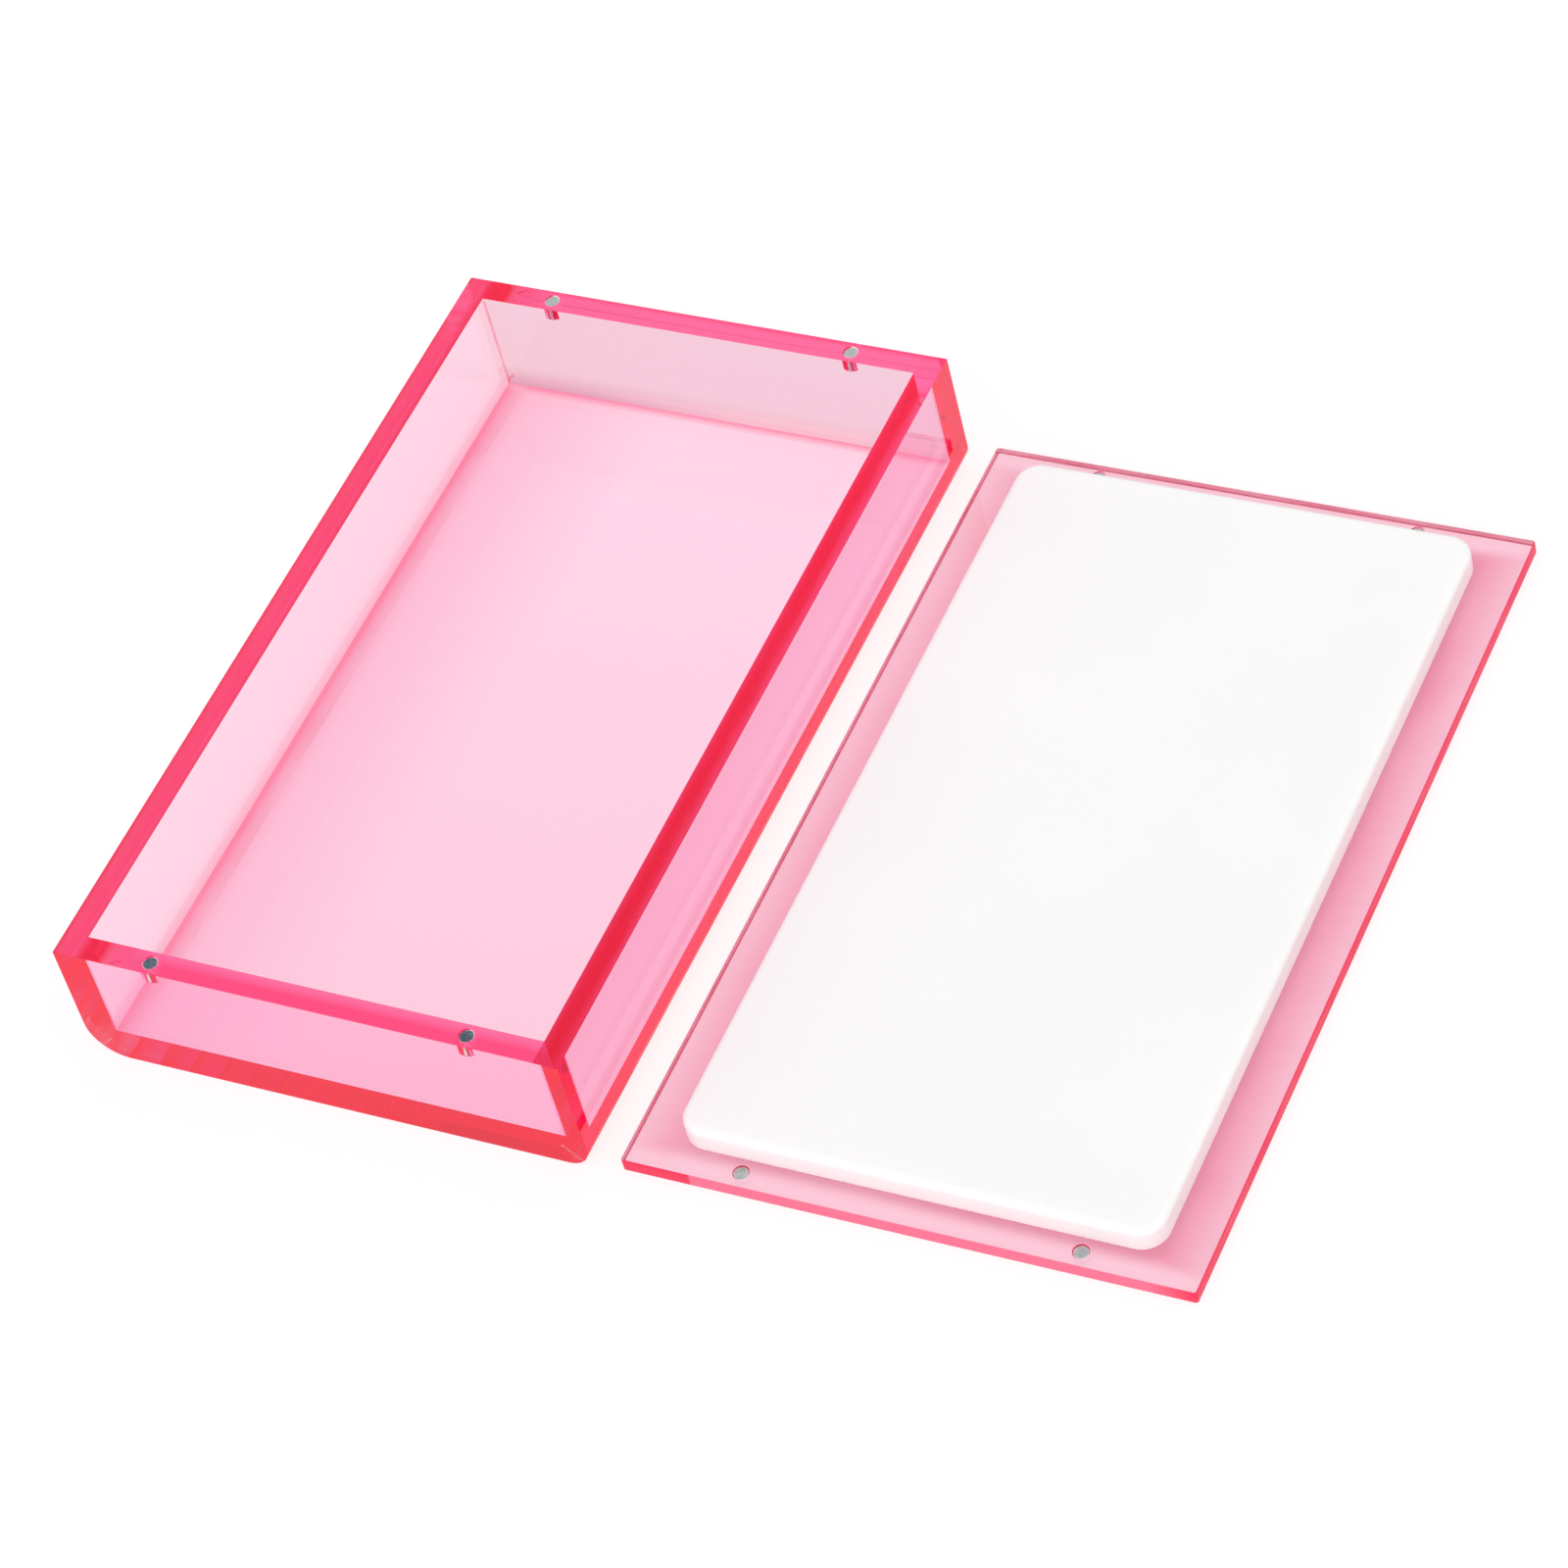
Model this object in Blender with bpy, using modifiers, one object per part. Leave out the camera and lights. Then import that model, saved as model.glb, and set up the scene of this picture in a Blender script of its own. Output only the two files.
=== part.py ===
# Eyelash storage box: an open acrylic tray with a loose magnetic lid.
# The lid lies beside the tray, turned over, with its silicone pad facing up.
# Metres, +Z up. X runs across the tray, Y runs along it, and the origin is
# the centre of the tray's underside.

import math

import bmesh
import bpy
from mathutils import Matrix

# Tray
tray_width = 0.1037
tray_length = 0.1786
tray_height = 0.0285
tray_sheet = 0.005
edge_radius_left = 0.0078
edge_radius_right = 0.0048

# Lid
lid_sheet = 0.0028
lid_overhang_side = 0.00315
lid_overhang_end = 0.0007
lid_corner_cut = 0.0006

# Silicone pad, which drops into the tray when the box is closed
pad_thickness = 0.0047
pad_play_side = 0.00065
pad_play_end = 0.0004
pad_corner_radius = 0.005
pad_edge_radius = 0.0012

# Disc magnets, two in each short wall and four in the lid
magnet_side_inset = 0.01935
magnet_diameter = 0.003
tray_magnet_height = 0.003
lid_magnet_height = 0.0015
magnet_edge_radius = 0.00025
magnet_recess = 0.0002

# Glue joints and the bedding of a piece on its neighbour
joint_gap = 0.0003

# Where the lid lies beside the tray
lid_side_gap = 0.00525
lid_set_back = 0.0021
lid_turn = math.radians(0.23)

# How far a cutter runs past the face that it opens
overrun = 0.001

# A rounded edge stays inside its mitre, and a soft edge inside its pad or disc
mitre_share = 3.0
soft_edge_share = 0.45
disc_edge_share = 0.33

# Points of an outline closer than this share of a glue joint are one point
weld_share = 0.1

# Facets
arc_steps = 10
round_sides = 32
edge_steps = 3
corner_steps = 8
crease_angle = math.radians(30)

# Sizes that follow from the ones above
lid_width = tray_width + 2 * lid_overhang_side
lid_length = tray_length + 2 * lid_overhang_end
lid_centre_x = tray_width / 2 + lid_side_gap + lid_width / 2
pad_width = tray_width - 2 * tray_sheet - 2 * pad_play_side
pad_length = tray_length - 2 * tray_sheet - 2 * pad_play_end
magnet_x = tray_width / 2 - magnet_side_inset
magnet_y = (tray_length - tray_sheet) / 2
hole_diameter = magnet_diameter + 2 * joint_gap
mitre_step = joint_gap / math.sqrt(2)

sides = {"left": -1, "right": 1}
ends = {"front": -1, "back": 1}
edge_radii = {"left": edge_radius_left, "right": edge_radius_right}


def clear_scene():
    for item in list(bpy.data.objects):
        bpy.data.objects.remove(item, do_unlink=True)


def new_collection(name):
    collection = bpy.data.collections.new(name)
    bpy.context.scene.collection.children.link(collection)
    return collection


def finish_material(name, color, roughness, metallic=0.0, transmission=0.0, alpha=1.0):
    material = bpy.data.materials.new(name)
    material.use_nodes = True
    shader = material.node_tree.nodes["Principled BSDF"]
    shader.inputs["Base Color"].default_value = color
    shader.inputs["Roughness"].default_value = roughness
    shader.inputs["Metallic"].default_value = metallic
    shader.inputs["Transmission Weight"].default_value = transmission
    shader.inputs["Alpha"].default_value = alpha
    material.diffuse_color = color
    return material


def tray_acrylic():
    return finish_material("tray_acrylic", (0.95, 0.28, 0.48, 1.0), 0.04, transmission=0.9, alpha=0.6)


def lid_acrylic():
    return finish_material("lid_acrylic", (0.93, 0.42, 0.56, 1.0), 0.04, transmission=0.9, alpha=0.6)


def pad_silicone():
    return finish_material("pad_silicone", (0.95, 0.94, 0.93, 1.0), 0.55)


def magnet_nickel():
    return finish_material("magnet_nickel", (0.62, 0.63, 0.65, 1.0), 0.25, metallic=1.0)


def place(obj, collection, material, parent=None):
    for owner in list(obj.users_collection):
        owner.objects.unlink(obj)
    collection.objects.link(obj)
    if material is not None:
        obj.data.materials.clear()
        obj.data.materials.append(material)
    if parent is not None:
        obj.parent = parent
    return obj


def edge_arc(side, start, end):
    """Points of one rounded bottom edge of the tray, as seen from the front."""
    radius = min(edge_radii[side], mitre_share * tray_sheet)
    sign = sides[side]
    points = []
    for step in range(arc_steps + 1):
        angle = start + (end - start) * step / arc_steps
        x = tray_width / 2 - radius + radius * math.sin(angle)
        z = radius - radius * math.cos(angle)
        points.append((sign * x, z))
    return points


def mitre_angle(side):
    """Half the angle that the mitre's glue joint takes out of the rounded edge."""
    radius = min(edge_radii[side], mitre_share * tray_sheet)
    return math.asin(joint_gap / (2 * radius))


def wall_outline(side):
    """A long wall from the front: square at the rim, mitred to the floor below."""
    sign = sides[side]
    outer = tray_width / 2
    inner = outer - tray_sheet
    rim = [(sign * outer, tray_height), (sign * inner, tray_height)]
    foot = [(sign * inner, tray_sheet + mitre_step)]
    quarter = math.pi / 4
    arc = edge_arc(side, quarter + mitre_angle(side), 2 * quarter)
    return rim + foot + arc


def floor_outline():
    """The floor from the front: a flat top, mitred ends and both rounded edges."""
    quarter = math.pi / 4
    top = tray_width / 2 - tray_sheet - mitre_step
    right = edge_arc("right", quarter - mitre_angle("right"), 0)
    left = edge_arc("left", 0, quarter - mitre_angle("left"))
    return [(-top, tray_sheet), (top, tray_sheet)] + right + left


def extruded_panel(name, outline, length, collection, material):
    """A panel with the given outline across the tray, running along Y."""
    curve = bpy.data.curves.new(name, "CURVE")
    curve.dimensions = "2D"
    curve.fill_mode = "BOTH"
    curve.extrude = length / 2
    spline = curve.splines.new("POLY")
    spline.points.add(len(outline) - 1)
    for point, (x, z) in zip(spline.points, outline):
        point.co = (x, z, 0, 1)
    spline.use_cyclic_u = True
    guide = bpy.data.objects.new(name + "_outline", curve)
    guide.rotation_euler = (math.pi / 2, 0, 0)
    collection.objects.link(guide)
    bpy.context.view_layer.update()
    evaluated = guide.evaluated_get(bpy.context.evaluated_depsgraph_get())
    mesh = bpy.data.meshes.new_from_object(evaluated)
    mesh.name = name
    panel = bpy.data.objects.new(name, mesh)
    panel.matrix_world = guide.matrix_world.copy()
    bpy.data.objects.remove(guide, do_unlink=True)
    soup = bmesh.new()
    soup.from_mesh(mesh)
    bmesh.ops.remove_doubles(soup, verts=soup.verts, dist=weld_share * joint_gap)
    bmesh.ops.recalc_face_normals(soup, faces=soup.faces)
    soup.to_mesh(mesh)
    soup.free()
    return place(panel, collection, material)


def box(name, size, centre, collection, material, parent=None):
    bpy.ops.mesh.primitive_cube_add(size=1)
    obj = bpy.context.active_object
    obj.name = name
    obj.data.name = name
    obj.data.transform(Matrix.Diagonal((*size, 1)))
    place(obj, collection, material, parent)
    obj.location = centre
    return obj


def cylinder(name, diameter, height, centre, collection, material, parent=None):
    bpy.ops.mesh.primitive_cylinder_add(vertices=round_sides, radius=diameter / 2, depth=height)
    obj = bpy.context.active_object
    obj.name = name
    obj.data.name = name
    place(obj, collection, material, parent)
    obj.location = centre
    return obj


def round_edges(obj, edge_test, radius, steps):
    """Rounds the mesh edges that the test picks."""
    shape = bmesh.new()
    shape.from_mesh(obj.data)
    chosen = [edge for edge in shape.edges if edge_test(edge)]
    bmesh.ops.bevel(
        shape, geom=chosen, offset=radius, segments=steps, profile=0.5, affect="EDGES", clamp_overlap=True
    )
    shape.to_mesh(obj.data)
    shape.free()


def stands_up(edge):
    first, second = edge.verts
    return abs(first.co.z - second.co.z) > max(abs(first.co.x - second.co.x), abs(first.co.y - second.co.y))


def on_top(edge):
    return all(vert.co.z > 0 for vert in edge.verts) and not stands_up(edge)


def drill(obj, cutters, name, centre, depth, parent=None):
    """Cuts one blind magnet hole, open at the top face."""
    height = depth + overrun
    middle = (centre[0], centre[1], centre[2] - depth + height / 2)
    tool = cylinder(name, hole_diameter, height, middle, cutters, None, parent)
    tool.hide_render = True
    tool.display_type = "WIRE"
    cut = obj.modifiers.new(name, "BOOLEAN")
    cut.operation = "DIFFERENCE"
    cut.solver = "EXACT"
    cut.object = tool


def hole_depth(magnet_height):
    return joint_gap + magnet_height + magnet_recess


def disc_magnet(name, height, place_at, surface, parts, material, parent=None):
    """A plated disc, sunk a little below the surface it is let into."""
    centre = (place_at[0], place_at[1], surface - magnet_recess - height / 2)
    magnet = cylinder(name, magnet_diameter, height, centre, parts, material, parent)
    soften = magnet.modifiers.new("plated_edge", "BEVEL")
    soften.width = min(magnet_edge_radius, disc_edge_share * height)
    soften.segments = edge_steps - 1
    soften.limit_method = "ANGLE"
    magnet.data.shade_smooth()
    magnet.data.set_sharp_from_angle(angle=crease_angle)
    return magnet


def build_tray(parts, cutters, nickel):
    acrylic = tray_acrylic()
    extruded_panel("tray_floor", floor_outline(), tray_length, parts, acrylic)
    for side in sides:
        extruded_panel("tray_wall_" + side, wall_outline(side), tray_length, parts, acrylic)
    wall_width = tray_width - 2 * (tray_sheet + joint_gap)
    wall_foot = tray_sheet + joint_gap
    wall_height = tray_height - wall_foot
    for end, along in ends.items():
        centre = (0, along * magnet_y, wall_foot + wall_height / 2)
        size = (wall_width, tray_sheet, wall_height)
        wall = box("tray_wall_" + end, size, centre, parts, acrylic)
        for side, across in sides.items():
            spot = (across * magnet_x, along * magnet_y)
            hole = (spot[0], spot[1], tray_height)
            drill(wall, cutters, f"tray_hole_{end}_{side}", hole, hole_depth(tray_magnet_height))
            name = f"tray_magnet_{end}_{side}"
            disc_magnet(name, tray_magnet_height, spot, tray_height, parts, nickel)


def build_pad(parts, holder):
    bottom = lid_sheet + joint_gap
    centre = (0, 0, bottom + pad_thickness / 2)
    size = (pad_width, pad_length, pad_thickness)
    pad = box("lid_pad", size, centre, parts, pad_silicone(), holder)
    round_edges(pad, stands_up, pad_corner_radius, corner_steps)
    round_edges(pad, on_top, min(pad_edge_radius, soft_edge_share * pad_thickness), edge_steps)
    return pad


def build_lid(parts, cutters, nickel):
    """The lid, modelled about its own upright axis and laid beside the tray."""
    holder = bpy.data.objects.new("lid", None)
    holder.location = (lid_centre_x, lid_set_back, 0)
    holder.rotation_euler = (0, 0, lid_turn)
    parts.objects.link(holder)
    acrylic = lid_acrylic()
    size = (lid_width, lid_length, lid_sheet)
    plate = box("lid_plate", size, (0, 0, lid_sheet / 2), parts, acrylic, holder)
    round_edges(plate, stands_up, lid_corner_cut, edge_steps)
    for end, along in ends.items():
        for side, across in sides.items():
            spot = (across * magnet_x, along * magnet_y)
            hole = (spot[0], spot[1], lid_sheet)
            drill(plate, cutters, f"lid_hole_{end}_{side}", hole, hole_depth(lid_magnet_height), holder)
            name = f"lid_magnet_{end}_{side}"
            disc_magnet(name, lid_magnet_height, spot, lid_sheet, parts, nickel, holder)
    build_pad(parts, holder)


def main():
    clear_scene()
    parts = new_collection("eyelash_storage_box")
    cutters = new_collection("cutters")
    nickel = magnet_nickel()
    build_tray(parts, cutters, nickel)
    build_lid(parts, cutters, nickel)


main()
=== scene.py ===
import math

import bmesh
import bpy
from mathutils import Matrix, Vector


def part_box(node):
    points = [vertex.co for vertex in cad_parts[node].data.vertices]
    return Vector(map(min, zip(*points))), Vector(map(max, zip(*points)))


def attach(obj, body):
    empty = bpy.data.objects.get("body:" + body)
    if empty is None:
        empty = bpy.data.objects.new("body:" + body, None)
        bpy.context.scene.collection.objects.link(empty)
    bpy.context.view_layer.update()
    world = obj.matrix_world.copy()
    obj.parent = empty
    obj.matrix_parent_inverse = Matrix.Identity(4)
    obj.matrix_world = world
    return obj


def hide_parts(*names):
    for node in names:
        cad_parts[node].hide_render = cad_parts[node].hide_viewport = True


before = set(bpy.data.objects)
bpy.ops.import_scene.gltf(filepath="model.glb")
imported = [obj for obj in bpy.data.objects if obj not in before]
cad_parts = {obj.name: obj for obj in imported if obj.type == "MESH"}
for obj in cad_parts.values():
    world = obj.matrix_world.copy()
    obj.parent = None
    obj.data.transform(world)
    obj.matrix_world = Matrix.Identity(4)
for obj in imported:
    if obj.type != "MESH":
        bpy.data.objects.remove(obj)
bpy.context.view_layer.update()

print("frame loaded")

mm = 0.001
sides = ("left", "right")
ends = ("front", "back")
signOf = {"left": -1, "right": 1, "front": -1, "back": 1}
white = (1, 1, 1, 1)
nearFace = 0.1 * mm  # a point this near a face belongs to it
facing = 0.5  # a normal this far along an axis faces that way
middleNoise = (0.3, 0.7)  # where most values of a noise texture lie


def centreOf(node):
    low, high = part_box(node)
    return (low + high) / 2


# The tray's two far corners and the thickness of its sheet
def traySize():
    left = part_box("tray_wall_left")
    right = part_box("tray_wall_right")
    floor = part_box("tray_floor")
    low = Vector((left[0].x, left[0].y, floor[0].z))
    high = Vector((right[1].x, right[1].y, right[1].z))
    sheet = floor[1].z - floor[0].z
    return low, high, sheet


camera = {
    "place": (0.48215, -0.59926, 0.79683),
    "turn": (41.8098, 10.9182, 23.7560),
    "lens": 133.834,
    "sensor": 36.0,
    "nearest": 0.05,
    "farthest": 20.0,
}


def addCamera():
    data = bpy.data.cameras.new("camera")
    data.lens = camera["lens"]
    data.sensor_width = camera["sensor"]
    data.clip_start = camera["nearest"]
    data.clip_end = camera["farthest"]
    obj = bpy.data.objects.new("camera", data)
    obj.location = camera["place"]
    obj.rotation_euler = [math.radians(angle) for angle in camera["turn"]]
    bpy.context.scene.collection.objects.link(obj)
    bpy.context.scene.camera = obj


addCamera()
print("camera placed")


def newMaterial(name):
    material = bpy.data.materials.new(name)
    material.use_nodes = True
    return material, material.node_tree


def link(tree, source, target):
    tree.links.new(source, target)


def maths(tree, operation, *values):
    node = tree.nodes.new("ShaderNodeMath")
    node.operation = operation
    for socket, value in zip(node.inputs, values):
        if isinstance(value, (int, float)):
            socket.default_value = value
        else:
            link(tree, value, socket)
    return node.outputs[0]


def times(tree, first, second):
    return maths(tree, "MULTIPLY", first, second)


def less(tree, value, taken):
    return maths(tree, "SUBTRACT", value, taken)


def larger(tree, first, second):
    return maths(tree, "MAXIMUM", first, second)


def absolute(tree, value):
    return maths(tree, "ABSOLUTE", value)


# 1 where the value is over its limit and 0 elsewhere
def over(tree, value, limit):
    return maths(tree, "GREATER_THAN", value, limit)


def under(tree, value, limit):
    return maths(tree, "LESS_THAN", value, limit)


def noise(tree, scale, stretch=(1, 1, 1), detail=3.0, roughness=0.5):
    coords = tree.nodes.new("ShaderNodeTexCoord")
    mapping = tree.nodes.new("ShaderNodeMapping")
    mapping.inputs["Scale"].default_value = stretch
    texture = tree.nodes.new("ShaderNodeTexNoise")
    texture.inputs["Scale"].default_value = scale
    texture.inputs["Detail"].default_value = detail
    texture.inputs["Roughness"].default_value = roughness
    link(tree, coords.outputs["Object"], mapping.inputs["Vector"])
    link(tree, mapping.outputs[0], texture.inputs["Vector"])
    return texture.outputs["Fac"]


def spread(tree, source, low, high, fromLow=0.0, fromHigh=1.0):
    node = tree.nodes.new("ShaderNodeMapRange")
    node.inputs["From Min"].default_value = fromLow
    node.inputs["From Max"].default_value = fromHigh
    node.inputs["To Min"].default_value = low
    node.inputs["To Max"].default_value = high
    link(tree, source, node.inputs["Value"])
    return node.outputs["Result"]


def bump(tree, shader, height, distance):
    node = tree.nodes.new("ShaderNodeBump")
    node.inputs["Strength"].default_value = 1.0
    node.inputs["Distance"].default_value = distance
    link(tree, height, node.inputs["Height"])
    link(tree, node.outputs[0], shader.inputs["Normal"])


# The x, y and z of a point of the piece, from its centre and turned with it
def placeOn(tree, centre=(0, 0, 0), turn=0.0):
    coords = tree.nodes.new("ShaderNodeTexCoord")
    mapping = tree.nodes.new("ShaderNodeMapping")
    mapping.vector_type = "TEXTURE"
    mapping.inputs["Location"].default_value = centre
    mapping.inputs["Rotation"].default_value = (0, 0, turn)
    apart = tree.nodes.new("ShaderNodeSeparateXYZ")
    link(tree, coords.outputs["Object"], mapping.inputs["Vector"])
    link(tree, mapping.outputs[0], apart.inputs[0])
    return apart.outputs["X"], apart.outputs["Y"], apart.outputs["Z"]


def colourMix(tree, share, first, second):
    mix = tree.nodes.new("ShaderNodeMix")
    mix.data_type = "RGBA"
    for socket, value in ((mix.inputs[6], first), (mix.inputs[7], second)):
        if isinstance(value, tuple):
            socket.default_value = value
        else:
            link(tree, value, socket)
    link(tree, share, mix.inputs[0])
    return mix.outputs[2]


# The face attribute "cut" tells how a face of the sheet was made
cutMark = {"cast": 0.0, "polished": 0.5, "routed": 1.0}
anyCut = (0.0, 0.5)  # from cast to polished
routedAlone = (0.6, 0.9)  # from polished to routed


def cutShare(tree, marks):
    cut = tree.nodes.new("ShaderNodeAttribute")
    cut.attribute_name = "cut"
    return spread(tree, cut.outputs["Fac"], 0.0, 1.0, *marks)


# Clear sheet: its depth of colour comes from how far the light runs inside it
def clearSheet(name, look):
    material, tree = newMaterial(name)
    shader = tree.nodes["Principled BSDF"]
    shader.inputs["IOR"].default_value = 1.49
    shader.inputs["Transmission Weight"].default_value = 1.0
    shader.inputs["Specular Tint"].default_value = look["gloss"]
    absorb = tree.nodes.new("ShaderNodeVolumeAbsorption")
    absorb.inputs["Color"].default_value = look["absorb"]
    absorb.inputs["Density"].default_value = look["density"]
    link(tree, absorb.outputs["Volume"], tree.nodes["Material Output"].inputs["Volume"])
    return material, tree, shader


trayAcrylicLook = {
    "gloss": (1.0, 0.35, 0.92, 1),
    "absorb": (0.999, 0.0, 0.63, 1),
    "density": 54.0,
    "clear": (1.0, 1.0, 0.95, 1),
    "backTint": (0.91, 0.86, 0.82, 1),
    "floorShadeFront": (0.99, 0.87, 0.85, 1),
    "floorShadeBack": (1.0, 0.99, 0.96, 1),
    "floorLeftShadow": (0.98, 0.77, 0.8, 1),
    "floorLeftShadowReach": (-44.0 * mm, -12.0 * mm),
    "rimLeftPaintedGlow": (0.97, 0.62, 0.36, 1),
    "rimShortPaintedGlow": (1.0, 1.0, 0.58, 1),
    "rimRightFrontPaintedShade": (0.7, 0.1, 0.09, 1),
    "rimRightBackPaintedGlow": (1.0, 0.8, 0.54, 1),
    "lowBackShadeLeft": (0.6, 0.31, 0.4, 1),
    "lowBackShadeRight": (1.0, 0.62, 0.67, 1),
    "lowBackShadeAcross": (-30.0 * mm, 5.0 * mm),
    "lowBackShadeUp": (2.0 * mm, 7.5 * mm),
    "foot": (1.0, 0.2, 0.34, 1),
    "besideFootShade": (0.84, 0.34, 0.5, 1),
    "besideFootShadeEdge": (1.0 * mm, 0.5 * mm),
    "side": (40.5 * mm, 47.5 * mm),
    "sideFade": 2.2,
    "end": (84.4 * mm, 86.4 * mm),
    "backEnd": 87.4 * mm,
    "underside": 1.6 * mm,
    "roundingFoot": 2.6 * mm,
    "roundingTop": 7.8 * mm,
    "roundingShare": 0.72,
    "endRoundingShare": 0.8,
    "cutRoughness": 0.03,
    "routedRoughness": 0.38,
    "routedAtTop": 0.1,
    "grainScale": 260,
    "grainStretch": (1, 0.25, 1),
    "grainShare": (0.7, 1.3),
}


# The rounded edges, and the strips of the underside between them and the floor, are painted a deeper
# pink: a painted glow of the light that runs down the walls
def footGlowShare(tree, look, place, side, routed, inEnd):
    x, y, z = place
    end = spread(tree, absolute(tree, y), 0.0, 1.0, *look["end"])
    end = times(tree, end, spread(tree, y, 1.0, 0.0, look["end"][1], look["backEnd"]))
    deep = spread(tree, z, 1.0, look["roundingShare"], look["underside"], look["roundingFoot"])
    fade = spread(tree, z, 1.0, 0.0, look["roundingFoot"], look["roundingTop"])
    where = larger(tree, routed, under(tree, z, look["underside"]))
    share = times(tree, larger(tree, side, end), times(tree, deep, fade))
    share = times(tree, share, where)
    return times(tree, share, spread(tree, inEnd, 1.0, look["endRoundingShare"]))


# Painted shade: on the underside just inside each long wall the foot colour turns to a darker mauve, the
# shade beside the wall's foot
def footGlowAndShade(tree, look, x, side):
    low, high, sheet = traySize()
    before, after = look["besideFootShadeEdge"]
    inner = high.x - sheet
    inside = spread(tree, absolute(tree, x), 1.0, 0.0, inner - before, inner + after)
    return colourMix(tree, times(tree, inside, side), look["foot"], look["besideFootShade"])


# Painted shade: the floor sheet is tinted deeper, most at the front, and a strip along the left wall
# paints that wall's shadow
def floorShadeColour(tree, look, x, along):
    tint = colourMix(tree, along, look["floorShadeFront"], look["floorShadeBack"])
    leftShadowShare = spread(tree, x, 0.0, 1.0, *look["floorLeftShadowReach"])
    return colourMix(tree, leftShadowShare, look["floorLeftShadow"], tint)


# Painted light: each rim is tinted to set how deep the band seen through it glows, and the right rim is
# painted darker towards the front
def paintedRimGlow(tree, look, x, along):
    low, high, sheet = traySize()
    rim = colourMix(tree, along, look["rimRightFrontPaintedShade"], look["rimRightBackPaintedGlow"])
    rim = colourMix(tree, over(tree, x, high.x - sheet), look["rimShortPaintedGlow"], rim)
    return colourMix(tree, under(tree, x, low.x + sheet), rim, look["rimLeftPaintedGlow"])


# Clear walls, a floor tinted deeper as painted shade, a tinted back wall, a painted shadow low on the
# outer back, and cut rims tinted to paint the glow of the bands
def faceColour(tree, look, place):
    x, y, z = place
    low, high, sheet = traySize()
    along = spread(tree, y, 0.0, 1.0, low.y, high.y)
    onFloor = under(tree, z, sheet + nearFace)
    face = colourMix(tree, onFloor, look["clear"], floorShadeColour(tree, look, x, along))
    onBack = over(tree, y, high.y - sheet - nearFace)
    onBack = times(tree, onBack, less(tree, 1.0, onFloor))
    face = colourMix(tree, onBack, face, look["backTint"])
    # Painted shade: a mauve-grey shadow low on the outer back wall, darker towards the left
    lowBackShade = spread(tree, x, 0.0, 1.0, *look["lowBackShadeAcross"])
    lowBackShade = colourMix(tree, lowBackShade, look["lowBackShadeLeft"], look["lowBackShadeRight"])
    lowBackShadeShare = spread(tree, z, 1.0, 0.0, *look["lowBackShadeUp"])
    lowBackShadeShare = times(tree, lowBackShadeShare, over(tree, y, high.y - nearFace))
    face = colourMix(tree, lowBackShadeShare, face, lowBackShade)
    onRim = over(tree, z, high.z - nearFace)
    return colourMix(tree, onRim, face, paintedRimGlow(tree, look, x, along))


# Routed edges are matt at the foot and clearer towards the wall, but stay matt inside the end walls
def trayRoughness(tree, look, z, routed, inEnd):
    matt = spread(tree, z, 1.0, look["routedAtTop"], look["roundingFoot"], look["roundingTop"])
    matt = times(tree, routed, larger(tree, matt, inEnd))
    rough = times(tree, matt, look["routedRoughness"])
    rough = maths(tree, "MULTIPLY_ADD", cutShare(tree, anyCut), look["cutRoughness"], rough)
    grain = noise(tree, look["grainScale"], stretch=look["grainStretch"])
    return times(tree, rough, spread(tree, grain, *look["grainShare"], *middleNoise))


def trayAcrylicMaterial(look):
    material, tree, shader = clearSheet("trayAcrylic", look)
    low, high, sheet = traySize()
    place = placeOn(tree)
    x, y, z = place
    side = spread(tree, absolute(tree, x), 0.0, 1.0, *look["side"])
    side = maths(tree, "POWER", side, look["sideFade"])
    routed = cutShare(tree, routedAlone)
    inEnd = times(tree, routed, over(tree, absolute(tree, y), high.y - sheet))
    share = footGlowShare(tree, look, place, side, routed, inEnd)
    colour = colourMix(tree, share, faceColour(tree, look, place), footGlowAndShade(tree, look, x, side))
    link(tree, colour, shader.inputs["Base Color"])
    link(tree, trayRoughness(tree, look, z, routed, inEnd), shader.inputs["Roughness"])
    return material


lidAcrylicLook = {
    "gloss": (1.0, 0.35, 0.92, 1),
    "absorb": (0.999, 0.0, 0.6, 1),
    "density": 26.0,
    "tint": (0.98, 0.684, 0.756, 1),
    "besidePad": (0.88, 0.36, 0.47, 1),
    "shadeReach": 11.0 * mm,
    "shadeAtLeft": 0.78,
    "shadeShare": (0.85, 1.1),
    "shadeScale": 45,
    "endShadeShare": 4.0,
    "underPadShadow": (0.92, 0.33, 0.46, 1),
    "underShadowSoftness": 0.6 * mm,
    "underShadowReach": (-38.5 * mm, -34.0 * mm),
    "underShadowShare": (1.0, 0.5),
    "sawn": (0.94, 0.19, 0.3, 1),
    "corner": (0.92, 0.03, 0.09, 1),
    "leftPaintedRed": -41.5 * mm,
    "rightPaintedRed": (46.0 * mm, 54.0 * mm),
    "farEdge": (0.98, 0.33, 0.56, 1),
    "arris": (0.86, 0.3, 0.45, 1),
    "edgeDepth": 0.3 * mm,
    "mattNear": 0.85,
    "mattFar": 0.3,
    "sawnRoughness": 0.45,
    "grainScale": 300,
    "grainStretch": (0.25, 0.25, 1),
    "grainShare": (0.8, 1.2),
}


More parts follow.
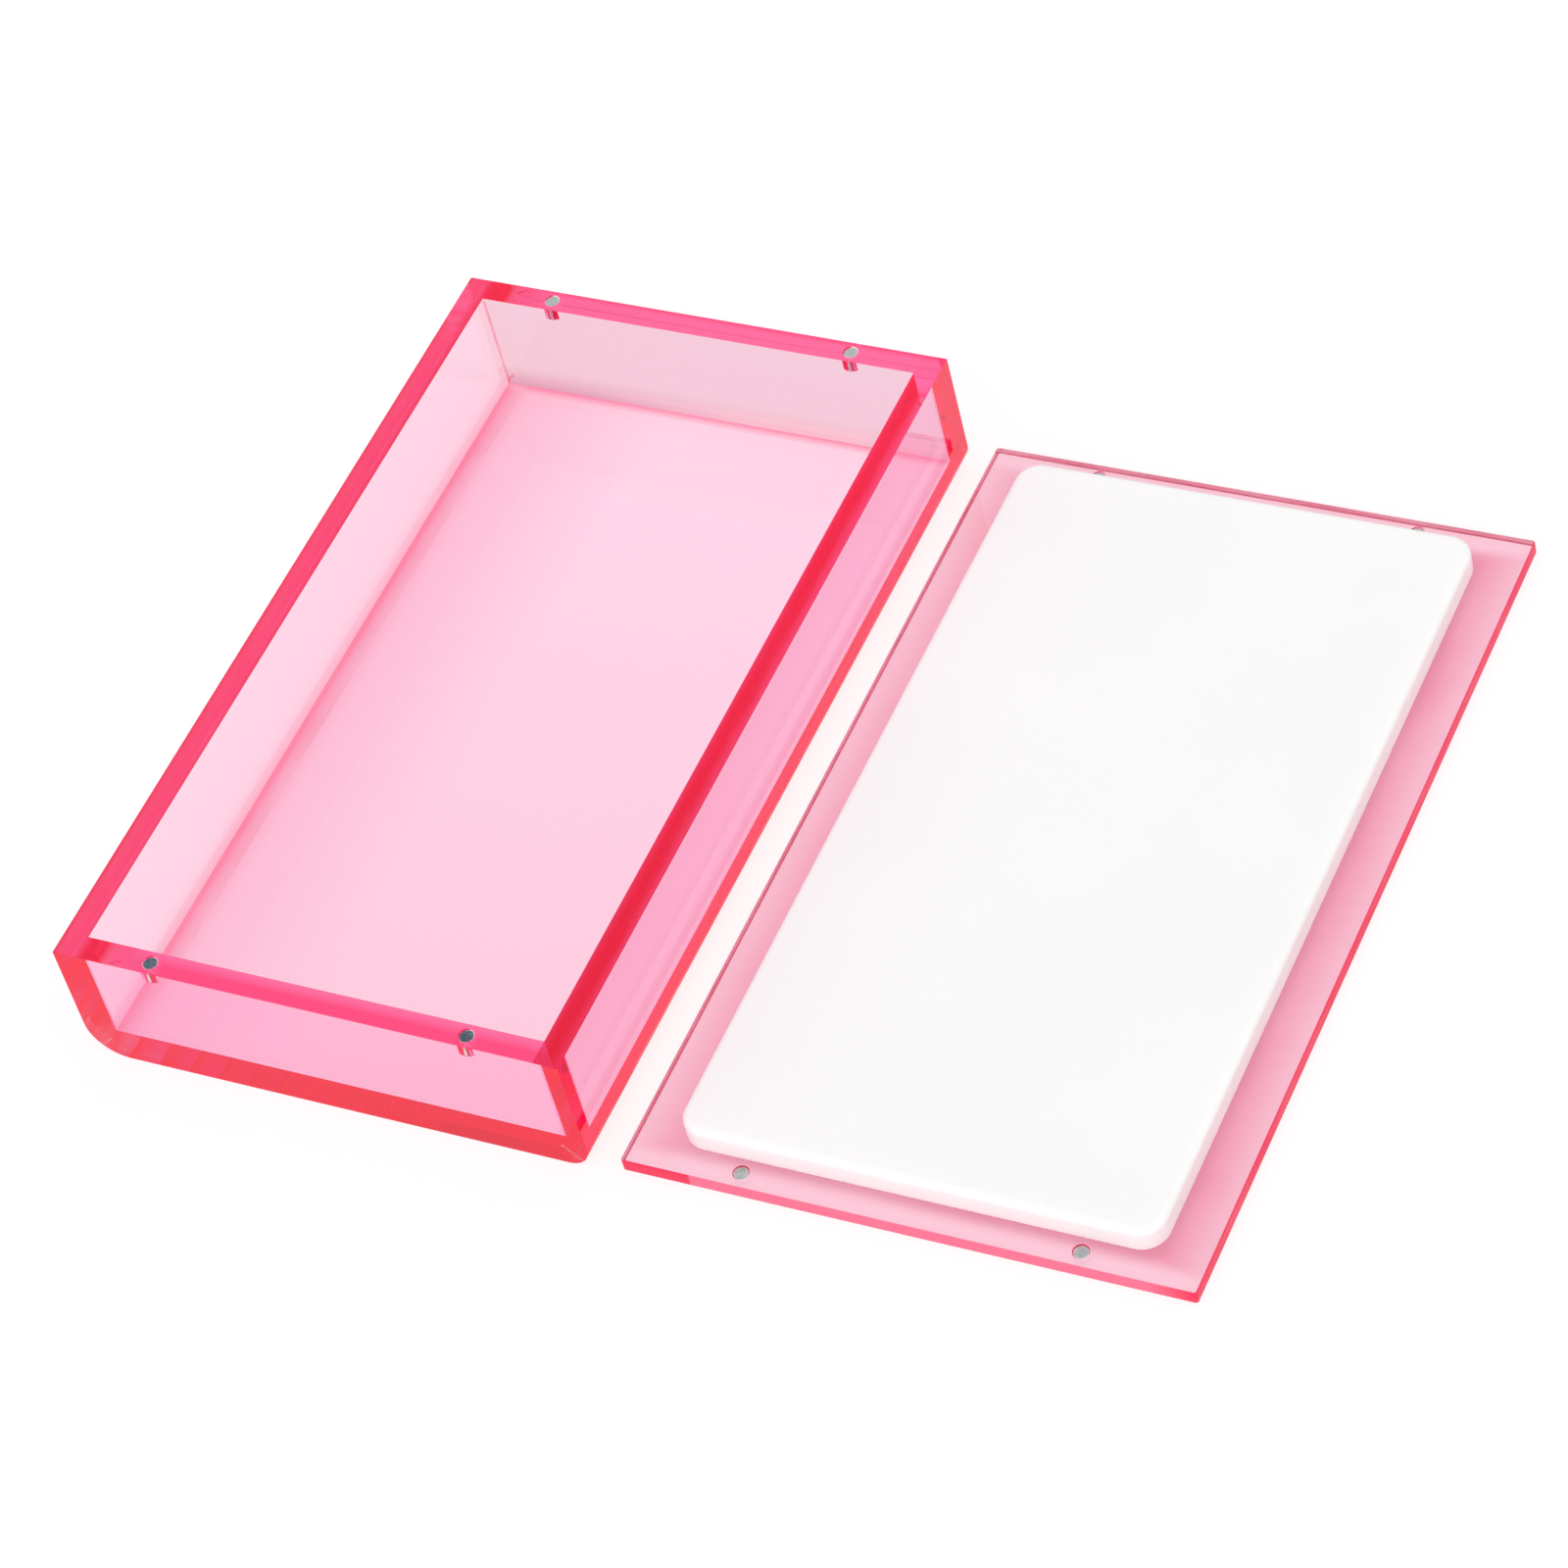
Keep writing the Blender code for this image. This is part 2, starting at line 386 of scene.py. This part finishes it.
# The plate is darker in the pad's shade
def shadeShare(tree, look, place, padHalf):
    x, y, z = place
    fromSide = less(tree, absolute(tree, x), padHalf.x)
    fromEnd = times(tree, less(tree, absolute(tree, y), padHalf.y), look["endShadeShare"])
    shade = spread(tree, larger(tree, fromSide, fromEnd), 1.0, 0.0, 0.0, look["shadeReach"])
    cloud = spread(tree, noise(tree, look["shadeScale"]), *look["shadeShare"], *middleNoise)
    shade = times(tree, shade, cloud)
    return times(tree, shade, spread(tree, x, look["shadeAtLeft"], 1.0, -padHalf.x, padHalf.x))


# The pad's contact shadow is painted on the plate's underside along the pad's outline
def underPadShadowShare(tree, look, place, padHalf):
    x, y, z = place
    radius = pad["cornerRadius"]
    cornerX = larger(tree, less(tree, absolute(tree, x), padHalf.x - radius), 0.0)
    cornerY = larger(tree, less(tree, absolute(tree, y), padHalf.y - radius), 0.0)
    square = maths(tree, "MULTIPLY_ADD", cornerX, cornerX, times(tree, cornerY, cornerY))
    outline = less(tree, maths(tree, "SQRT", square), radius)
    share = spread(tree, outline, 1.0, 0.0, -look["underShadowSoftness"], look["underShadowSoftness"])
    share = times(tree, share, under(tree, z, nearFace))
    share = times(tree, share, over(tree, x, look["underShadowReach"][0]))
    return times(tree, share, spread(tree, x, *look["underShadowShare"], *look["underShadowReach"]))


# 1 on the front and right edges of the plate, which were sanded more than the other two
def nearEdges(tree, look, place):
    x, y, z = place
    onFront = under(tree, y, look["edgeDepth"] - lid["length"] / 2)
    onRight = over(tree, x, lid["width"] / 2 - look["edgeDepth"])
    return larger(tree, onFront, onRight)


# Painted light: the frosted edges are painted deep red at both ends of the front edge and along the
# right edge, where light runs far through the sheet, and the left and back arrises get a painted dark
# line for the edge seen through the plate
def paintedLidEdgeColour(tree, look, x, near):
    corner = spread(tree, x, 0.0, 1.0, *look["rightPaintedRed"])
    corner = larger(tree, under(tree, x, look["leftPaintedRed"]), corner)
    edge = colourMix(tree, corner, look["sawn"], look["corner"])
    edge = colourMix(tree, near, look["farEdge"], edge)
    return colourMix(tree, cutShare(tree, routedAlone), edge, look["arris"])


def lidAcrylicMaterial(look, centre, turn, padHalf):
    material, tree, shader = clearSheet("lidAcrylic", look)
    place = placeOn(tree, centre, turn)
    face = colourMix(tree, shadeShare(tree, look, place, padHalf), look["tint"], look["besidePad"])
    face = colourMix(tree, underPadShadowShare(tree, look, place, padHalf), face, look["underPadShadow"])
    near = nearEdges(tree, look, place)
    sawn = cutShare(tree, anyCut)
    colour = colourMix(tree, sawn, face, paintedLidEdgeColour(tree, look, place[0], near))
    link(tree, colour, shader.inputs["Base Color"])
    matt = times(tree, sawn, spread(tree, near, look["mattFar"], look["mattNear"]))
    link(tree, less(tree, 1.0, matt), shader.inputs["Transmission Weight"])
    grain = noise(tree, look["grainScale"], stretch=look["grainStretch"])
    grain = spread(tree, grain, *look["grainShare"], *middleNoise)
    rough = times(tree, times(tree, sawn, look["sawnRoughness"]), grain)
    link(tree, rough, shader.inputs["Roughness"])
    return material


silicone = {
    "pale": (0.955, 0.95, 0.945, 1),
    "dull": (0.925, 0.918, 0.915, 1),
    "cloudScale": 22,
    "cloud": (0.35, 0.7),
    "paintedLightNearPlate": (1.0, 0.99, 0.99, 1),
    "paintedLightHeight": (3.2 * mm, 6.2 * mm),
    "glow": 0.3,
    "glowDepth": (3.0 * mm, 2.5 * mm, 2.4 * mm),
    "roughness": (0.42, 0.62),
    "roughScale": 400,
    "poreScale": 1500,
    "poreDepth": 0.02 * mm,
}


def siliconeMaterial():
    material, tree = newMaterial("whiteSilicone")
    shader = tree.nodes["Principled BSDF"]
    cloud = spread(tree, noise(tree, silicone["cloudScale"], detail=2.0), 0.0, 1.0, *silicone["cloud"])
    colour = colourMix(tree, cloud, silicone["pale"], silicone["dull"])
    # Painted light: the pad is paler low on its sides, near the plate
    height = spread(tree, placeOn(tree)[2], 0.0, 1.0, *silicone["paintedLightHeight"])
    link(tree, colourMix(tree, height, silicone["paintedLightNearPlate"], colour), shader.inputs["Base Color"])
    rough = noise(tree, silicone["roughScale"], detail=4.0)
    link(tree, spread(tree, rough, *silicone["roughness"], *middleNoise), shader.inputs["Roughness"])
    shader.inputs["IOR"].default_value = 1.41
    shader.inputs["Subsurface Weight"].default_value = silicone["glow"]
    shader.inputs["Subsurface Radius"].default_value = silicone["glowDepth"]
    shader.inputs["Subsurface Scale"].default_value = 1.0
    bump(tree, shader, noise(tree, silicone["poreScale"], detail=2.0), silicone["poreDepth"])
    return material


nickel = {
    "bright": {"plating": (0.5, 0.52, 0.52, 1), "spots": (0.32, 0.34, 0.34, 1), "spotShare": 0.8},
    # Painted shade: the front tray magnets take this dark copy of the nickel for the dark reflection
    # they show
    "paintedDark": {"plating": (0.17, 0.21, 0.28, 1), "spots": (0.04, 0.05, 0.07, 1), "spotShare": 1.0},
    "paintedHighlight": (0.72, 0.72, 0.71, 1),
    "spotScale": 900,
    "spot": (0.35, 0.7),
    "roughness": (0.16, 0.34),
    "roughScale": 2500,
    "pitScale": 1300,
    "pitDepth": 0.03 * mm,
}


# The face attribute "rim" is 1 on every face of a disc but its top: the rounded edges and sides are
# painted paler, a painted highlight
def nickelMaterial(name, finish):
    material, tree = newMaterial(name)
    shader = tree.nodes["Principled BSDF"]
    spots = noise(tree, nickel["spotScale"], detail=5.0, roughness=0.65)
    spots = spread(tree, spots, 0.0, finish["spotShare"], *nickel["spot"])
    rim = tree.nodes.new("ShaderNodeAttribute")
    rim.attribute_name = "rim"
    plating = colourMix(tree, spots, finish["plating"], finish["spots"])
    colour = colourMix(tree, rim.outputs["Fac"], plating, nickel["paintedHighlight"])
    link(tree, colour, shader.inputs["Base Color"])
    shader.inputs["Metallic"].default_value = 1.0
    rough = spread(tree, noise(tree, nickel["roughScale"]), *nickel["roughness"], *middleNoise)
    link(tree, rough, shader.inputs["Roughness"])
    bump(tree, shader, noise(tree, nickel["pitScale"], detail=4.0), nickel["pitDepth"])
    return material


whiteSilicone = siliconeMaterial()
nickelFinish = {name: nickelMaterial(f"{name}Nickel", nickel[name]) for name in ("bright", "paintedDark")}
print("pad and magnet finishes made")

weld = 0.001 * mm
holeSides = 64
sharpFrom = math.radians(35)
smoothUpTo = math.radians(40)
arrisSegments = 2


def meshObject(name, bm, material):
    mesh = bpy.data.meshes.new(name)
    bm.to_mesh(mesh)
    bm.free()
    obj = bpy.data.objects.new(name, mesh)
    bpy.context.scene.collection.objects.link(obj)
    mesh.materials.append(material)
    return obj


# Makes the mesh that the modifiers give the object's own
def settle(obj):
    bpy.context.view_layer.update()
    graph = bpy.context.evaluated_depsgraph_get()
    mesh = bpy.data.meshes.new_from_object(obj.evaluated_get(graph))
    obj.modifiers.clear()
    obj.data = mesh


def block(low, high):
    bm = bmesh.new()
    bmesh.ops.create_cube(bm, size=1)
    bmesh.ops.scale(bm, vec=high - low, verts=bm.verts)
    bmesh.ops.translate(bm, vec=(low + high) / 2, verts=bm.verts)
    return bm


def bevelEdges(bm, edges, width, segments):
    bmesh.ops.bevel(
        bm, geom=edges, offset=width, segments=segments, profile=0.5, affect="EDGES", material=-1
    )


def roundedSlab(low, high, cornerRadius, segments):
    bm = block(low, high)
    half = (high.z - low.z) / 2
    upright = [e for e in bm.edges if abs(e.verts[0].co.z - e.verts[1].co.z) > half]
    bevelEdges(bm, upright, cornerRadius, segments)
    return bm


def newVerts(made):
    return [v for v in made["geom"] if isinstance(v, bmesh.types.BMVert)]


def cutHoles(obj, spots, piece, top):
    radius = piece["holeDiameter"] / 2
    height = piece["holeDepth"] + mm
    middle = top - piece["holeDepth"] + height / 2
    for number, spot in enumerate(spots):
        bm = bmesh.new()
        bmesh.ops.create_cone(
            bm, cap_ends=True, segments=holeSides, radius1=radius, radius2=radius, depth=height
        )
        bmesh.ops.translate(bm, vec=(spot.x, spot.y, middle), verts=bm.verts)
        tool = meshObject(f"hole_{number}", bm, obj.data.materials[0])
        cut = obj.modifiers.new("hole", "BOOLEAN")
        cut.operation = "DIFFERENCE"
        cut.solver = "EXACT"
        cut.object = tool
        settle(obj)
        bpy.data.objects.remove(tool)


# Bevels the outer edges alone: the inner corners of a glued box stay sharp
def breakEdges(obj, width):
    bm = bmesh.new()
    bm.from_mesh(obj.data)
    bmesh.ops.remove_doubles(bm, verts=bm.verts, dist=weld)
    folds = [e for e in bm.edges if len(e.link_faces) == 2 and e.is_convex]
    sharp = [e for e in folds if e.calc_face_angle() > sharpFrom]
    bevelEdges(bm, sharp, width, arrisSegments)
    bm.to_mesh(obj.data)
    bm.free()


def shadeFlats(obj):
    obj.data.shade_smooth()
    bm = bmesh.new()
    bm.from_mesh(obj.data)
    for edge in bm.edges:
        edge.smooth = edge.calc_face_angle(0) < smoothUpTo
    bm.to_mesh(obj.data)
    bm.free()
    weighted = obj.modifiers.new("flats", "WEIGHTED_NORMAL")
    weighted.mode = "FACE_AREA"
    weighted.keep_sharp = True
    settle(obj)


def markCuts(obj, isRouted, isPolished):
    layer = obj.data.attributes.new("cut", "FLOAT", "FACE")
    for face in obj.data.polygons:
        kind = "cast"
        if isPolished(face.center, face.normal):
            kind = "polished"
        if isRouted(face.center, face.normal):
            kind = "routed"
        layer.data[face.index].value = cutMark[kind]


tray = {
    "edgeRadius": {"left": 7.8 * mm, "right": 4.8 * mm},
    "roundSegments": 24,
    "leastTilt": 0.02,
    "flatDown": 0.999,
    "arris": 0.06 * mm,
    "holeDiameter": 3.04 * mm,
    "holeDepth": 3.25 * mm,
}


def makeTray():
    low, high, sheet = traySize()
    bm = block(low, high)
    for side in sides:
        foot = [e for e in bm.edges if all(v.co.z < low.z + nearFace for v in e.verts)]
        edges = [e for e in foot if all(v.co.x * signOf[side] > 0 for v in e.verts)]
        bevelEdges(bm, edges, tray["edgeRadius"][side], tray["roundSegments"])
    bm.faces.ensure_lookup_table()
    bm.normal_update()
    upper = [f for f in bm.faces if f.normal.z > facing]
    top = [f for f in upper if f.calc_center_median().z > high.z - nearFace]
    bmesh.ops.inset_region(bm, faces=top, thickness=sheet, use_even_offset=True)
    pushed = bmesh.ops.extrude_face_region(bm, geom=top)
    bmesh.ops.translate(bm, vec=(0, 0, sheet - high.z), verts=newVerts(pushed))
    bmesh.ops.delete(bm, geom=[f for f in top if f.is_valid], context="FACES")
    bmesh.ops.recalc_face_normals(bm, faces=bm.faces)
    shell = meshObject("trayShell", bm, trayAcrylicMaterial(trayAcrylicLook))
    spots = [centreOf(f"tray_magnet_{end}_{side}") for end in ends for side in sides]
    cutHoles(shell, spots, tray, high.z)
    breakEdges(shell, tray["arris"])
    shadeFlats(shell)

    def isRounding(spot, normal):
        aside = spot.z < tray["edgeRadius"]["left"] and abs(normal.x) > tray["leastTilt"]
        return aside and -tray["flatDown"] < normal.z < -tray["leastTilt"]

    def isRimOrEnd(spot, normal):
        rim = normal.z > facing and spot.z > high.z - mm
        return rim or abs(normal.y) > facing and abs(spot.y) > high.y - nearFace

    markCuts(shell, isRounding, isRimOrEnd)
    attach(shell, "tray")
    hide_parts("tray_floor", *[f"tray_wall_{where}" for where in sides + ends])


# The glue hardly bends the light, so that its thin pieces show as a tint
glueIor = 1.02

cornerGlue = {
    "leg": 0.4 * mm,
    "bite": 0.02 * mm,
    "headRoom": 0.5 * mm,
    "clear": (1.0, 0.62, 0.74, 1),
    "cloudy": (1.0, 0.8, 0.87, 1),
    "blobScale": 160,
    "blob": (0.35, 0.65),
    "roughScale": 500,
    "roughness": (0.1, 0.3),
}


def clearGlueMaterial():
    material, tree = newMaterial("clearGlue")
    shader = tree.nodes["Principled BSDF"]
    blobs = spread(tree, noise(tree, cornerGlue["blobScale"]), 0.0, 1.0, *cornerGlue["blob"])
    colour = colourMix(tree, blobs, cornerGlue["clear"], cornerGlue["cloudy"])
    link(tree, colour, shader.inputs["Base Color"])
    rough = spread(tree, noise(tree, cornerGlue["roughScale"]), *cornerGlue["roughness"])
    link(tree, rough, shader.inputs["Roughness"])
    shader.inputs["IOR"].default_value = glueIor
    shader.inputs["Transmission Weight"].default_value = 1.0
    return material


# A bead of glue up each inner corner of the tray
def makeCornerGlue():
    low, high, sheet = traySize()
    bite = cornerGlue["bite"]
    leg = cornerGlue["leg"]
    length = high.z - sheet - cornerGlue["headRoom"]
    bm = bmesh.new()
    for end in ends:
        for side in sides:
            across = signOf[side]
            along = signOf[end]
            inner = (across * (high.x - sheet - bite), along * (high.y - sheet - bite))
            corner = Vector((*inner, sheet + bite))
            legs = (Vector(), Vector((-across * leg, 0, 0)), Vector((0, -along * leg, 0)))
            foot = bm.faces.new([bm.verts.new(corner + step) for step in legs])
            raised = bmesh.ops.extrude_face_region(bm, geom=[foot], use_keep_orig=True)
            bmesh.ops.translate(bm, vec=(0, 0, length), verts=newVerts(raised))
    bmesh.ops.recalc_face_normals(bm, faces=bm.faces)
    beads = meshObject("cornerGlue", bm, clearGlueMaterial())
    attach(beads, "tray")


mitreGlue = {
    "width": 0.5 * mm,
    "depth": 0.12 * mm,
    "bite": 0.02 * mm,
    "milky": (0.97, 0.72, 0.79, 1),
    "dots": (0.72, 0.36, 0.46, 1),
    "dotScale": 1400,
    "dot": (0.56, 0.62),
    "cloudScale": 700,
    "cloud": (0.35, 0.65),
    "alpha": (0.25, 0.65),
    "clearness": 0.5,
    "roughScale": 500,
    "roughness": (0.4, 0.7),
}


def milkyGlueMaterial():
    material, tree = newMaterial("milkyGlue")
    shader = tree.nodes["Principled BSDF"]
    dots = noise(tree, mitreGlue["dotScale"], detail=1.0)
    dots = spread(tree, dots, 0.0, 1.0, *mitreGlue["dot"])
    link(tree, colourMix(tree, dots, mitreGlue["milky"], mitreGlue["dots"]), shader.inputs["Base Color"])
    rough = spread(tree, noise(tree, mitreGlue["roughScale"]), *mitreGlue["roughness"])
    link(tree, rough, shader.inputs["Roughness"])
    cloud = spread(tree, noise(tree, mitreGlue["cloudScale"]), *mitreGlue["alpha"], *mitreGlue["cloud"])
    link(tree, cloud, shader.inputs["Alpha"])
    shader.inputs["IOR"].default_value = glueIor
    shader.inputs["Transmission Weight"].default_value = mitreGlue["clearness"]
    return material


# A milky line at each end of the two mitres
def makeMitreGlue():
    low, high, sheet = traySize()
    depth = mitreGlue["depth"]
    bm = bmesh.new()
    for side in sides:
        sign = signOf[side]
        radius = tray["edgeRadius"][side]
        reach = radius / math.sqrt(2) - (radius - sheet) - tray["arris"]
        for end in ends:
            made = bmesh.ops.create_cube(bm, size=1)
            shape = Matrix.Diagonal((reach * math.sqrt(2), depth, mitreGlue["width"], 1))
            turn = Matrix.Rotation(sign * math.radians(45), 4, "Y")
            y = signOf[end] * (high.y - depth / 2 - mitreGlue["bite"])
            spot = Vector((sign * (high.x - sheet + reach / 2), y, sheet - reach / 2))
            matrix = Matrix.Translation(spot) @ turn @ shape
            bmesh.ops.transform(bm, matrix=matrix, verts=made["verts"])
    lines = meshObject("mitreGlue", bm, milkyGlueMaterial())
    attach(lines, "tray")


makeTray()
makeCornerGlue()
makeMitreGlue()
print("tray made")

lid = {
    "width": 110 * mm,
    "length": 180 * mm,
    "turn": math.radians(0.23),
    "cornerRadius": 0.6 * mm,
    "cornerSegments": 6,
    "arris": 0.2 * mm,
    "sawnTilt": 0.95,
    "arrisTilt": 0.3,
    "holeDiameter": 3.04 * mm,
    "holeDepth": 1.75 * mm,
}

pad = {
    "width": 92.4 * mm,
    "length": 167.8 * mm,
    "cornerRadius": 5 * mm,
    "cornerSegments": 16,
    "edgeRadius": 1.4 * mm,
    "edgeSegments": 6,
    "bedding": 0.02 * mm,
}


def halfSize(piece):
    return Vector((piece["width"] / 2, piece["length"] / 2, 0))


def layLid(bm):
    centre = centreOf("lid_plate")
    turn = Matrix.Rotation(lid["turn"], 3, "Z")
    bmesh.ops.rotate(bm, cent=(0, 0, 0), matrix=turn, verts=bm.verts)
    bmesh.ops.translate(bm, vec=(centre.x, centre.y, 0), verts=bm.verts)


def makeLidPlate():
    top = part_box("lid_plate")[1].z
    half = halfSize(lid)
    bm = roundedSlab(-half, half + Vector((0, 0, top)), lid["cornerRadius"], lid["cornerSegments"])
    layLid(bm)
    centre = centreOf("lid_plate")
    acrylic = lidAcrylicMaterial(lidAcrylicLook, (centre.x, centre.y, 0), lid["turn"], halfSize(pad))
    plate = meshObject("lidPlate", bm, acrylic)
    spots = [centreOf(f"lid_magnet_{end}_{side}") for end in ends for side in sides]
    cutHoles(plate, spots, lid, top)
    breakEdges(plate, lid["arris"])
    shadeFlats(plate)

    def isSawn(spot, normal):
        outside = all((spot - hole).xy.length > lid["holeDiameter"] for hole in spots)
        return abs(normal.z) < lid["sawnTilt"] and outside

    def isArris(spot, normal):
        tilt = lid["arrisTilt"]
        return isSawn(spot, normal) and abs(normal.z) > tilt and normal.x < tilt and normal.y > -tilt

    markCuts(plate, isArris, isSawn)
    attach(plate, "lid")
    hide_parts("lid_plate")


def makePad():
    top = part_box("lid_pad")[1].z
    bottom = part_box("lid_plate")[1].z + pad["bedding"]
    low = Vector((0, 0, bottom)) - halfSize(pad)
    high = Vector((0, 0, top)) + halfSize(pad)
    bm = roundedSlab(low, high, pad["cornerRadius"], pad["cornerSegments"])
    rim = [e for e in bm.edges if all(v.co.z > top - nearFace for v in e.verts)]
    bevelEdges(bm, rim, pad["edgeRadius"], pad["edgeSegments"])
    layLid(bm)
    piece = meshObject("siliconePad", bm, whiteSilicone)
    shadeFlats(piece)
    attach(piece, "lid")
    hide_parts("lid_pad")


magnets = {
    "sides": 56,
    "rimRadius": 0.16 * mm,
    "rimSegments": 4,
    "flatUp": 0.99,
    "finish": {"tray_front": "paintedDark"},
}


def makeMagnet(body, end, side):
    node = f"{body}_magnet_{end}_{side}"
    low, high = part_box(node)
    radius = (high.x - low.x) / 2
    height = high.z - low.z
    bm = bmesh.new()
    bmesh.ops.create_cone(
        bm, cap_ends=True, segments=magnets["sides"], radius1=radius, radius2=radius, depth=height
    )
    rims = [e for e in bm.edges if abs(e.verts[0].co.z - e.verts[1].co.z) < height / 2]
    bevelEdges(bm, rims, magnets["rimRadius"], magnets["rimSegments"])
    bmesh.ops.translate(bm, vec=centreOf(node), verts=bm.verts)
    finish = magnets["finish"].get(f"{body}_{end}", "bright")
    disc = meshObject(f"{body}Magnet{end.title()}{side.title()}", bm, nickelFinish[finish])
    disc.data.shade_smooth()
    disc.modifiers.new("flats", "WEIGHTED_NORMAL")
    settle(disc)
    layer = disc.data.attributes.new("rim", "FLOAT", "FACE")
    for face in disc.data.polygons:
        layer.data[face.index].value = 1.0 if face.normal.z < magnets["flatUp"] else 0.0
    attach(disc, body)
    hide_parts(node)


makeLidPlate()
makePad()
for body in ("tray", "lid"):
    for end in ends:
        for side in sides:
            makeMagnet(body, end, side)
print("lid and magnets made")

stage = {
    "paper": (0.9, 0.9, 0.9, 1),
    "reach": 3.0,
    "drop": 0.02 * mm,
    "glow": 1.05,
    "glowShare": 0.75,
    "key": (0.3, -0.85, 0.4),
    "keyTight": 2.0,
    "keyStrength": 0.75,
    "fill": 0.845,
}


# 1 for a ray that the eye follows, also through clear pieces, and 0 for one that gathers light
def seenRay(tree):
    path = tree.nodes.new("ShaderNodeLightPath")
    seen = larger(tree, path.outputs["Is Camera Ray"], path.outputs["Is Glossy Ray"])
    seen = larger(tree, seen, path.outputs["Is Transmission Ray"])
    straight = under(tree, path.outputs["Diffuse Depth"], 0.5)  # no matt surface on the way
    return times(tree, seen, straight)


def makeStage():
    bm = bmesh.new()
    bmesh.ops.create_grid(bm, x_segments=1, y_segments=1, size=stage["reach"])
    bmesh.ops.translate(bm, vec=(0, 0, -stage["drop"]), verts=bm.verts)
    material, tree = newMaterial("paperFloor")
    tree.nodes.remove(tree.nodes["Principled BSDF"])
    diffuse = tree.nodes.new("ShaderNodeBsdfDiffuse")
    diffuse.inputs["Color"].default_value = stage["paper"]
    glow = tree.nodes.new("ShaderNodeEmission")
    glow.inputs["Strength"].default_value = stage["glow"]
    mix = tree.nodes.new("ShaderNodeMixShader")
    link(tree, times(tree, seenRay(tree), stage["glowShare"]), mix.inputs[0])
    link(tree, diffuse.outputs[0], mix.inputs[1])
    link(tree, glow.outputs[0], mix.inputs[2])
    link(tree, mix.outputs[0], tree.nodes["Material Output"].inputs["Surface"])
    meshObject("paperFloor", bm, material)


# A plain white surround for the eye, and a soft light from the front for the surfaces
def makeLight():
    world = bpy.data.worlds.new("studio")
    bpy.context.scene.world = world
    world.use_nodes = True
    tree = world.node_tree
    backdrop = tree.nodes["Background"]
    backdrop.inputs["Color"].default_value = white
    backdrop.inputs["Strength"].default_value = 1.0
    lamps = tree.nodes.new("ShaderNodeBackground")
    lamps.inputs["Color"].default_value = white
    coords = tree.nodes.new("ShaderNodeTexCoord")
    unit = tree.nodes.new("ShaderNodeVectorMath")
    unit.operation = "NORMALIZE"
    toKey = tree.nodes.new("ShaderNodeVectorMath")
    toKey.operation = "DOT_PRODUCT"
    toKey.inputs[1].default_value = Vector(stage["key"]).normalized()
    link(tree, coords.outputs["Generated"], unit.inputs[0])
    link(tree, unit.outputs[0], toKey.inputs[0])
    lobe = maths(tree, "POWER", larger(tree, toKey.outputs["Value"], 0.0), stage["keyTight"])
    strength = maths(tree, "MULTIPLY_ADD", lobe, stage["keyStrength"], stage["fill"])
    link(tree, strength, lamps.inputs["Strength"])
    mix = tree.nodes.new("ShaderNodeMixShader")
    link(tree, seenRay(tree), mix.inputs[0])
    link(tree, lamps.outputs[0], mix.inputs[1])
    link(tree, backdrop.outputs[0], mix.inputs[2])
    link(tree, mix.outputs[0], tree.nodes["World Output"].inputs["Surface"])


makeStage()
makeLight()
print("stage and light made")

# The cut edges glow by light that turns back and forth inside the sheet many times
clearBounces = 160
scene = bpy.context.scene
scene.view_settings.view_transform = "Standard"
scene.cycles.max_bounces = clearBounces
scene.cycles.glossy_bounces = clearBounces
scene.cycles.transmission_bounces = clearBounces
scene.cycles.diffuse_bounces = 4
scene.cycles.blur_glossy = 0.0
